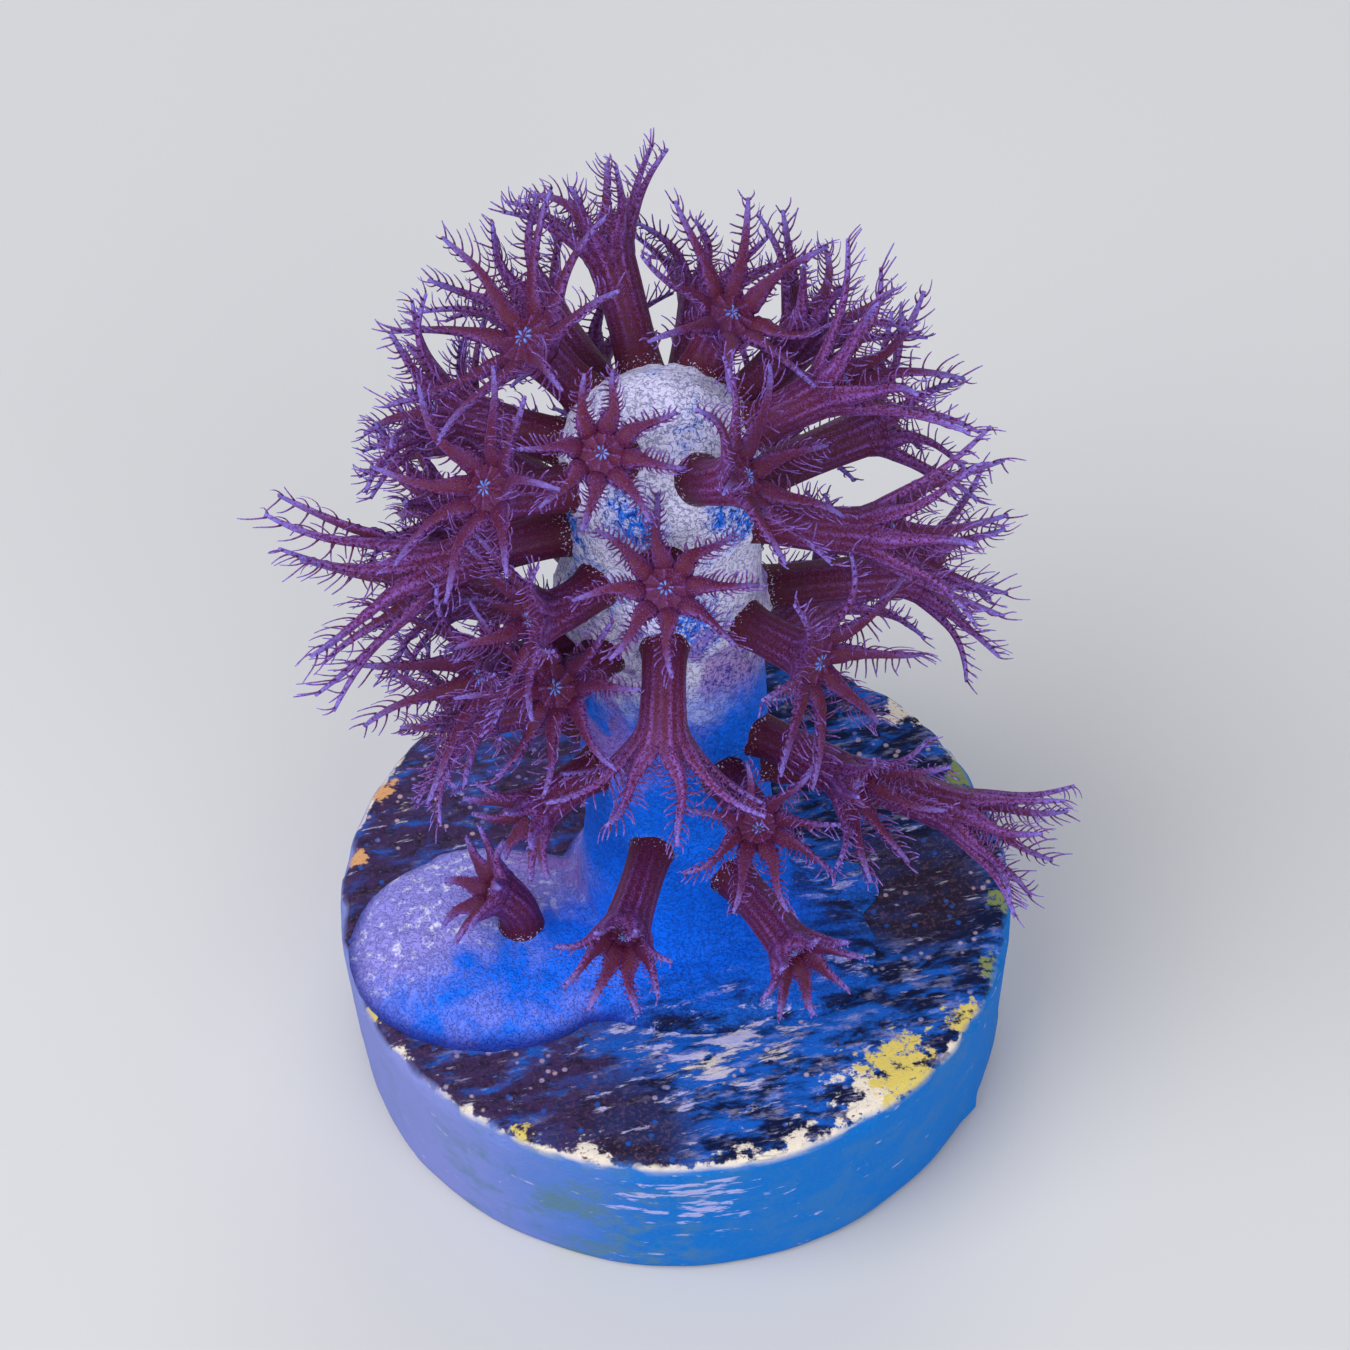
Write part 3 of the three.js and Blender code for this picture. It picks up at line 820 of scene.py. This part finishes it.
def shaft_points(lines, radius, place, angle):
    """Points round the shaft, which bends from the stem to the crown."""
    shaft = max(lines.length - CROWN_LENGTH, 0.5)
    along = np.where(place < 0, place, place * shaft)
    bow = np.cross(lines.out, lines.facing)
    if np.linalg.norm(bow) < 0.02:
        bow = np.cross(lines.out, (0.3, 0.5, 0.8))
    bow = unit(bow)
    start = math.atan2(np.cross(lines.facing, bow) @ lines.twist_axis, bow @ lines.twist_axis)
    t = np.clip(along / lines.length, 0, 1)
    point, forward = bezier((lines.root, lines.bend, lines.crown), t)
    point = point + forward * (along - t * lines.length)[:, None]
    thick = np.cross(forward, bow)
    turn = angle + start
    wide = radius * (1 + 0.04 * np.cos(ARMS * angle) * np.clip(place, 0, 1))
    return point + blend((bow, wide * np.cos(turn)), (thick, wide * np.sin(turn)))


def web_points(lines, height, place, angle):
    """Points on the web, which hangs between each two neighbouring arms' middle lines."""
    controls = np.array([controls for controls, _ in lines.arms])
    sides = np.array([side for _, side in lines.arms])
    spans = np.array([span_of(controls) for controls, _ in lines.arms])
    turn = angle / (2 * math.pi / ARMS)
    first = np.floor(turn).astype(int) % ARMS
    share = (turn - np.floor(turn))[:, None]
    between = np.sin(math.pi * share[:, 0])
    ends = []
    for arm in (first, (first + 1) % ARMS):
        edge = np.clip(WEB_SHARE + WEB_GAIN * spans[arm], *WEB_LIMITS)
        t = edge * place * (1 - WEB_SCALLOP * between * place**2)
        point, _, _, upper = arm_line([controls[arm, k] for k in range(4)], sides[arm], t)
        ends.append((point, upper))
    point = ends[0][0] * (1 - share) + ends[1][0] * share
    upper = unit(ends[0][1] * (1 - share) + ends[1][1] * share)
    off = point - lines.crown
    off = off - lines.facing * (off @ lines.facing)[:, None]
    return point + off * (0.07 * between * (1 - place))[:, None] + upper * height[:, None]


def body(lines, template):
    """Shaft, web and mouth disc in one closed skin, with the tints of its points."""
    ring = np.rint(template[:, 2]).astype(int)
    angle = np.arctan2(template[:, 1], template[:, 0]) % (2 * math.pi - 1e-6)
    first, second = np.array(SHAFT + WEB + MOUTH)[ring].T
    on_shaft = ring < len(SHAFT)
    on_mouth = ring >= len(SHAFT) + len(WEB)
    height = np.where(on_mouth, WEB[-1][0], first)
    place = np.where(on_mouth, WEB[-1][1], second)
    web = web_points(lines, height, np.clip(place, 0, 1), angle)
    spokes = np.arange(ARMS) * 2 * math.pi / ARMS
    even = np.ones(ARMS)
    mouth = web_points(lines, even * WEB[-1][0], even * WEB[-1][1], spokes).mean(axis=0)
    inner = web * (1 - first)[:, None] + mouth * first[:, None] + lines.facing * second[:, None]
    shaft = shaft_points(lines, np.where(on_shaft, first, 1.0), np.where(on_shaft, second, 1), angle)
    placed = np.where(on_shaft[:, None], shaft, np.where(on_mouth[:, None], inner, web))

    crest = np.cos(ARMS * angle)
    seam = np.clip(-crest, 0, 1) ** 4
    middle = np.clip(crest, 0, 1) ** 4
    up = np.clip(second, 0, 1)
    keel = np.clip(crest, 0, 1) ** 8
    lines_on = 0.3 * seam + 0.6 * keel
    outside = np.where(on_shaft, 0.02 + up * (0.05 + lines_on), 0.12 + lines_on)
    lilac = np.where(on_shaft | (first < 0), outside, 0.1)
    # Partly painted highlight: the web's lilac edge between the arms is the tissue's lilac and a
    # painted rim highlight
    edge = ~on_shaft & ~on_mouth & (second > 0.9)
    lilac = np.where(edge, 0.1 + 0.6 * seam, lilac)
    lilac = np.where(on_mouth, 0.06 + 0.35 * middle * (first < 0.6), lilac)
    red = np.where(on_shaft, np.clip(1 - second / 0.5, 0, 1), 0)
    ray = on_mouth & (first > 0.72) & (first < 0.97)
    star = np.where(ray, np.clip(0.4 + 0.9 * crest, 0, 1), 0)
    return placed, (lilac, red, star, np.zeros_like(star))


class Arm:
    """One arm's swaying, curling run. Its habits are drawn in a fixed order."""

    def __init__(self, controls, side, rng, left):
        self.controls = controls
        self.side = side
        self.span = span_of(controls)
        self.size = self.span / USUAL_SPAN
        self.first = min(BARE_SHARE, BARE_LENGTH / self.span)
        self.widest = min(0.5, 0.36 + 0.02 * self.span) * (1.6 - 0.6 * left)
        self.sway = rng.uniform(0.15, 0.55) * self.size
        self.beat, self.phase = rng.uniform(1.1, 2.0) * math.pi, rng.uniform(0, 6.3)
        self.twist = math.radians(rng.uniform(-70, 70))
        self.curl = rng.uniform(-0.8, 3.4) * self.size
        self.wag = rng.uniform(-1.6, 1.6) * self.size

    def half_width(self, t):
        return self.widest * np.interp(t, *ARM_WIDTH)

    def curve(self, t):
        point, _, level, upper = arm_line(self.controls, self.side, t)
        drift = self.sway * np.sin(self.beat * t + self.phase) * np.clip(t - 0.3, 0, 1) ** 0.5
        drift = drift + self.wag * np.clip(t - 0.6, 0, 1) ** 2
        droop = self.curl * 2 * np.clip(t - 0.6, 0, 1) ** 2
        return point + blend((level, drift), (upper, -droop))

    def rail(self, t):
        """Place, forward, side and upper side at t."""
        point = self.curve(t)
        forward = unit(self.curve(t + 0.01) - self.curve(t - 0.01))
        _, _, level, _ = arm_line(self.controls, self.side, t)
        level = unit(level - forward * np.sum(forward * level, axis=1, keepdims=True))
        upper = np.cross(forward, level)
        turn = (self.twist * np.clip(t - 0.25, 0, 1))[:, None]
        return (
            point, forward,
            level * np.cos(turn) + upper * np.sin(turn),
            upper * np.cos(turn) - level * np.sin(turn),
        )


def stalk(arm, pairs, rachis):
    """The arm's flat tapering stalk: knobbed where pinnules stand, and furrowed above."""
    x, y, t = rachis.T
    t = 0.06 + 0.94 * t
    point, _, level, upper = arm.rail(t)
    half = arm.half_width(t)
    gap = (1 - arm.first) * arm.span / pairs
    knobs = 1 + 0.09 * np.sin(t * arm.span * math.pi / gap) * (np.abs(x) > 0.6)
    thick = half * np.where(y > 0, np.interp(t, *ARM_OVER), np.interp(t, *ARM_UNDER))
    furrow = 1 - 0.35 * np.exp(-((x / 0.4) ** 2)) * (y > 0) * np.clip((t - 0.3) / 0.2, 0, 1)
    placed = point + blend((level, half * knobs * x), (upper, thick * furrow * y))
    # Partly painted highlight: the lilac margins are the tissue's lilac and a painted rim highlight
    # along the arm's edges
    edge = np.clip((np.abs(x) - 0.55) / 0.45, 0, 1)
    keel = np.clip(-y, 0, 1) * (0.12 + 0.65 * np.exp(-((x / 0.3) ** 2)))
    lilac = 0.04 + 0.6 * edge + keel + 0.5 * np.clip(t - 0.55, 0, 1)
    lilac = lilac * np.clip((t - 0.05) / 0.3, 0.2, 1)
    none = np.zeros_like(t)
    return placed, (lilac, none, none, np.clip((t - 0.75) / 0.4, 0, 1))


def combs(arm, rng, values, left, pinnule):
    """A comb of curved pinnules on each side of the arm, and how many there are."""
    pairs = max(4, int(round(values.pairs * (0.4 + 0.6 * left))) + rng.integers(-1, 2))
    where = np.repeat(np.linspace(arm.first, 0.985, pairs), 2)
    where = np.clip(where + rng.normal(0, 0.1 / pairs, 2 * pairs), 0.2, 0.99)
    hand = np.tile((1.0, -1.0), pairs)
    count = len(where)
    point, forward, level, upper = arm.rail(where)
    base = point + level * (hand * arm.half_width(where) * 0.85)[:, None]
    wave = np.sin(rng.uniform(3, 6) * where + rng.uniform(0, 6.3) + hand)
    lean = np.radians(4 + 44 * where**4 + 8 * wave + rng.normal(0, 6, count))
    lift = np.radians(16 + 12 * np.cos(rng.uniform(3, 6) * where + hand) + rng.normal(0, 8, count))
    heading = blend(
        (level, hand * np.cos(lean) * np.cos(lift)),
        (forward, np.sin(lean) * np.cos(lift)),
        (upper, np.sin(lift)),
    )
    bow = blend(
        (forward, 0.4 * wave + rng.normal(0.15, 0.16, count)),
        (upper, rng.normal(0.42, 0.2, count)),
        (level, -hand * rng.uniform(0.15, 0.55, count)),
    )
    grown = np.interp(where, (arm.first, arm.first + 0.2, 0.75, 1.0), (0.55, 1.0, 1.0, 0.66))
    long = grown * left * (values.reach / MM) * arm.size
    long = long * rng.uniform(0.8, 1.15, count)
    over = unit(np.cross(heading, upper))
    flank = np.cross(heading, over)
    phases = rng.uniform(0, 6.3, count)[:, None]
    px, py, pz = pinnule.T
    placed = long[:, None, None] * (
        heading[:, None] * pz[None, :, None] + bow[:, None] * (pz**2)[None, :, None]
    )
    ripple = 0.035 * np.sin(5.0 * pz[None] + phases) * pz[None]
    thin = (values.thread / MM) * np.interp(pz, (0, 0.2, 0.8, 1), (1.5, 1, 0.85, 0.6))
    placed = placed + base[:, None] + over[:, None] * (ripple + (thin * px)[None])[:, :, None]
    placed = placed + flank[:, None] * (thin * py)[None, :, None]
    pale = 0.15 + 0.55 * pz[None] + 0.4 * (where[:, None] - 0.5)
    blue = np.clip(1.2 * (pz[None] - 0.45), 0, 1) * np.clip(where[:, None], 0, 1)
    none = np.zeros(pale.size)
    tints = (np.clip(pale, 0, 1).ravel(), none, none, blue.ravel())
    return (placed.reshape(-1, 3), tints), count


def polyp(name, node, values, templates, material, seed):
    rng = np.random.default_rng(seed)
    lines = Lines(node)
    body_mesh, rachis_mesh, pinnule_mesh, shapes = templates
    left = DRAWN_IN.get(node.name, 1.0)
    bm = bmesh.new()
    bm.from_mesh(body_mesh)
    parts = [body(lines, shapes[0])]
    for controls, side in lines.arms:
        arm = Arm(controls, side, rng, left)
        pinnules, count = combs(arm, rng, values, left, shapes[2])
        parts += [stalk(arm, values.pairs, shapes[1]), pinnules]
        bm.from_mesh(rachis_mesh)
        for _ in range(count):
            bm.from_mesh(pinnule_mesh)
    mesh = to_mesh(bm, name)
    placed = np.concatenate([points for points, _ in parts])
    mesh.vertices.foreach_set("co", (placed * MM).ravel())
    for index, label in enumerate(("lilac", "red", "star", "tip")):
        tint(mesh, label, np.concatenate([tints[index] for _, tints in parts]))
    return finish_piece(mesh, name, material, node.name)


def polyp_nodes():
    return [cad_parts[n] for n in sorted(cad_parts) if n.startswith("polyp_")]


# ---------------------------------------------------------------- stem and foot


def stem_shape(seats):
    """The stem's finger, the foot's mounds and a low collar at each polyp's root, overlapping."""
    bm = turned(STEM_PROFILE, 64)
    for v in bm.verts:
        v.co.x += STEM_LEAN * (1 - v.co.z / STEM_HEIGHT)
    mounds = [
        (Vector((x, y, 0.0)), Matrix.Diagonal((a, b, rise, 1)))
        for x, y, a, b, rise in MOUNDS
    ]
    bulges = [(Vector(BULGE[0]), Matrix.Diagonal((*BULGE[1], 1)))]
    for root, out in seats:
        squash = Vector(out).to_track_quat("Z", "Y").to_matrix().to_4x4()
        centre = Vector(root - COLLAR_DEPTH * out) - Vector((0, 0, DISC_TOP))
        bulges.append((centre, squash @ Matrix.Diagonal((*COLLAR, 1))))
    for centre, form in mounds + bulges:
        bmesh.ops.create_uvsphere(
            bm, u_segments=32, v_segments=16, radius=1, matrix=Matrix.Translation(centre) @ form
        )
    bmesh.ops.translate(bm, verts=bm.verts, vec=(0, 0, DISC_TOP))
    bmesh.ops.bisect_plane(
        bm, geom=bm.verts[:] + bm.edges[:] + bm.faces[:], plane_co=(0, 0, DISC_TOP - 0.35),
        plane_no=(0, 0, 1), clear_inner=True,
    )
    open_edges = [e for e in bm.edges if e.is_boundary]
    bmesh.ops.holes_fill(bm, edges=open_edges, sides=0)
    bmesh.ops.scale(bm, vec=(MM, MM, MM), verts=bm.verts)
    return to_mesh(bm, "Stem shape")


def fused(mesh, voxel):
    """One smooth skin over overlapping shapes."""
    holder = bpy.data.objects.new("Stem shape", mesh)
    bpy.context.scene.collection.objects.link(holder)
    remesh = holder.modifiers.new("Fuse", "REMESH")
    remesh.mode = "VOXEL"
    remesh.voxel_size = voxel
    soften = holder.modifiers.new("Soften", "SMOOTH")
    soften.factor = 0.5
    soften.iterations = 6
    shown = holder.evaluated_get(bpy.context.evaluated_depsgraph_get())
    skin = bpy.data.meshes.new_from_object(shown)
    bpy.data.objects.remove(holder)
    return skin


def stem(values, material):
    seats = [(line.root, line.out) for line in map(Lines, polyp_nodes())]
    mesh = fused(stem_shape(seats), values.voxel)
    points, normals = vectors_of(mesh) / MM, vectors_of(mesh, "normal")
    roots = np.array([root for root, _ in seats])
    away = np.linalg.norm(points[:, None] - roots[None], axis=2).min(axis=1)
    collar = np.clip(1 - (away - 1.0) / 0.9, 0, 1)
    rough = np.array([
        sum(height * noise.noise(Vector(p) / size) for height, size in SWELLS) for p in points
    ])
    ragged = np.array([0.16 * abs(noise.noise(Vector(p) / 0.55)) for p in points])
    lift = rough + collar * ragged
    keep = np.clip((points[:, 2] - DISC_TOP) / 0.5, 0, 1)
    points = points + normals * (lift * keep)[:, None]
    reach = np.hypot(points[:, 0], points[:, 1])
    inward = np.minimum(1.0, (DISC_RADIUS - 0.1) / np.maximum(reach, 1e-6))
    points[:, :2] *= inward[:, None]
    mesh.vertices.foreach_set("co", (points * MM).ravel())
    tint(mesh, "collar", collar)
    # Painted shade: the mask is strongest where the skin meets the disc and gone 1.1 mm up
    tint(mesh, "shade", np.clip(1 - (points[:, 2] - DISC_TOP) / 1.1, 0, 1))
    return finish_piece(mesh, "stem_skin", material, "stem_and_foot")


# ---------------------------------------------------------------- disc


def disc(values, material):
    mesh = to_mesh(turned(DISC_PROFILE, 240), "Frag disc")
    points = vectors_of(mesh)
    x, y, z = points.T
    radius, angle = np.hypot(x, y), np.arctan2(y, x)
    top = (z > 8.8).astype(float)
    wall = (z > 0.05) & (radius > 15.3)
    crust = values.crust / MM
    grain = np.array([noise.noise(Vector((p[0] * 0.45, p[1] * 1.7, 3.0))) for p in points])
    pits = np.array([noise.noise(Vector(p) / 0.7) for p in points])
    broad = np.array([noise.noise(Vector(p) / 4.0) for p in points])
    chips = np.array([noise.noise(Vector((math.cos(a) * 9, math.sin(a) * 9, 1.0))) for a in angle])
    z = z + top * crust * (0.55 * grain + 0.45 * pits - 0.2)
    edge = np.exp(-(((radius - 15.9) / 0.35) ** 2)) * (z > 8.3)
    radius = radius - 0.3 * edge * np.clip(chips + pits, 0, 1)
    z = z - 0.16 * edge * np.clip(chips + 0.4, 0, 1)
    radius = radius + wall * (0.05 * broad + 0.02 * pits)
    low = np.exp(-(((z - 0.9) / 0.9) ** 2)) * wall
    nick = np.exp(-(((angle + 0.5) / 0.035) ** 2))
    radius = radius + low * (0.16 * broad + 0.3 * nick)
    points = np.stack((radius * np.cos(angle), radius * np.sin(angle), z), axis=1)
    mesh.vertices.foreach_set("co", (points * MM).ravel())
    tint(mesh, "crust", np.clip((z - 8.62) / 0.2, 0, 1))
    return finish_piece(mesh, "crusted_disc", material, "frag_disc")


# ---------------------------------------------------------------- operators


class FAN_OT_disc(bpy.types.Operator):
    """Build the crusted frag disc"""

    bl_idname = "fan.disc"
    bl_label = "Frag Disc"

    def execute(self, context):
        values = context.scene.fan_disc
        disc(values, disc_material(values))
        return {"FINISHED"}


class FAN_OT_stem(bpy.types.Operator):
    """Build the stem with its spreading foot"""

    bl_idname = "fan.stem"
    bl_label = "Stem and Foot"

    def execute(self, context):
        values = context.scene.fan_stem
        stem(values, stem_material(values, context.scene.fan_disc))
        return {"FINISHED"}


class FAN_OT_polyps(bpy.types.Operator):
    """Build every feathery polyp along its own lines"""

    bl_idname = "fan.polyps"
    bl_label = "Polyps"

    def execute(self, context):
        values = context.scene.fan_polyps
        material = polyp_material(values)
        meshes = [
            to_mesh(body_template(), "Body"),
            to_mesh(rod(10, 16), "Stalk"),
            to_mesh(rod(4, 5), "Pinnule"),
        ]
        templates = (*meshes, [vectors_of(m) for m in meshes])
        for index, node in enumerate(polyp_nodes()):
            name = f"{node.name}_feathery"
            polyp(name, node, values, templates, material, 100 + index)
        for mesh in meshes:
            bpy.data.meshes.remove(mesh)
        return {"FINISHED"}


class FAN_OT_stage(bpy.types.Operator):
    """Lay the floor and set the lamps and the camera"""

    bl_idname = "fan.stage"
    bl_label = "Stage"

    def execute(self, context):
        values = context.scene.fan_stage
        bm = bmesh.new()
        bmesh.ops.create_grid(bm, x_segments=1, y_segments=1, size=1.5)
        floor = bpy.data.objects.new("Floor", to_mesh(bm, "Floor"))
        context.scene.collection.objects.link(floor)
        material, _, shader = new_material("Floor")
        shader.inputs["Base Color"].default_value = (*values.floor, 1)
        shader.inputs["Roughness"].default_value = 0.9
        floor.data.materials.append(material)
        lamp(context, "Key", values.key, 0.42, (-0.26, -0.16, 0.4))
        lamp(context, "Fill", 2 * values.fill, 0.5, (0.24, -0.44, 0.24))
        lamp(context, "Rim", values.fill, 0.4, (0.1, 0.45, 0.3))
        world = bpy.data.worlds.new("Studio")
        world.use_nodes = True
        background = world.node_tree.nodes["Background"]
        background.inputs["Color"].default_value = (0.9, 0.92, 1.0, 1)
        background.inputs["Strength"].default_value = 0.4
        context.scene.world = world
        context.scene.view_settings.view_transform = "Standard"
        camera(context)
        return {"FINISHED"}


def lamp(context, name, power, size, place):
    """A round soft lamp that looks at the finger. Its size and place are in metres."""
    data = bpy.data.lights.new(name, "AREA")
    data.shape = "DISK"
    data.size = size
    data.energy = power
    light = bpy.data.objects.new(name, data)
    light.location = place
    aim = Vector(LAMPS_AIM) * MM - Vector(place)
    light.rotation_euler = aim.to_track_quat("-Z", "Y").to_euler()
    context.scene.collection.objects.link(light)


def camera(context):
    data = bpy.data.cameras.new("Camera")
    data.sensor_width = 36
    data.lens = CAMERA_LENS
    data.clip_start = 0.01
    view = bpy.data.objects.new("Camera", data)
    tilt, roll = math.radians(CAMERA_TILT), math.radians(CAMERA_ROLL)
    back = Vector((0, -math.cos(tilt), math.sin(tilt)))
    up = Vector((0, math.sin(tilt), math.cos(tilt)))
    right = Vector((1, 0, 0))
    right, up = (
        right * math.cos(roll) + up * math.sin(roll),
        up * math.cos(roll) - right * math.sin(roll),
    )
    place = Vector((0, 0, DISC_TOP)) + back * CAMERA_DISTANCE + up * CAMERA_RISE
    turned_to = Matrix((right, up, back)).transposed().to_4x4()
    view.matrix_world = Matrix.Translation(place * MM) @ turned_to
    context.scene.collection.objects.link(view)
    context.scene.camera = view


OPERATORS = (FAN_OT_disc, FAN_OT_stem, FAN_OT_polyps, FAN_OT_stage)


class FAN_PT_panel(bpy.types.Panel):
    bl_label = "Sea Fan"
    bl_idname = "FAN_PT_panel"
    bl_space_type = "VIEW_3D"
    bl_region_type = "UI"
    bl_category = "Sea Fan"

    def draw(self, context):
        for name, operator in zip(SETTINGS, OPERATORS):
            box = self.layout.box()
            box.operator(operator.bl_idname)
            for prop in SETTINGS[name].__annotations__:
                box.prop(getattr(context.scene, name), prop)


CLASSES = (*SETTINGS.values(), *OPERATORS, FAN_PT_panel)


def register():
    for cls in CLASSES:
        bpy.utils.register_class(cls)
    for name, cls in SETTINGS.items():
        setattr(bpy.types.Scene, name, PointerProperty(type=cls))


def unregister():
    for name in SETTINGS:
        delattr(bpy.types.Scene, name)
    for cls in reversed(CLASSES):
        bpy.utils.unregister_class(cls)


def main():
    register()
    bpy.ops.fan.disc()
    bpy.ops.fan.stem()
    bpy.ops.fan.polyps()
    bpy.ops.fan.stage()


if __name__ == "__main__":
    main()
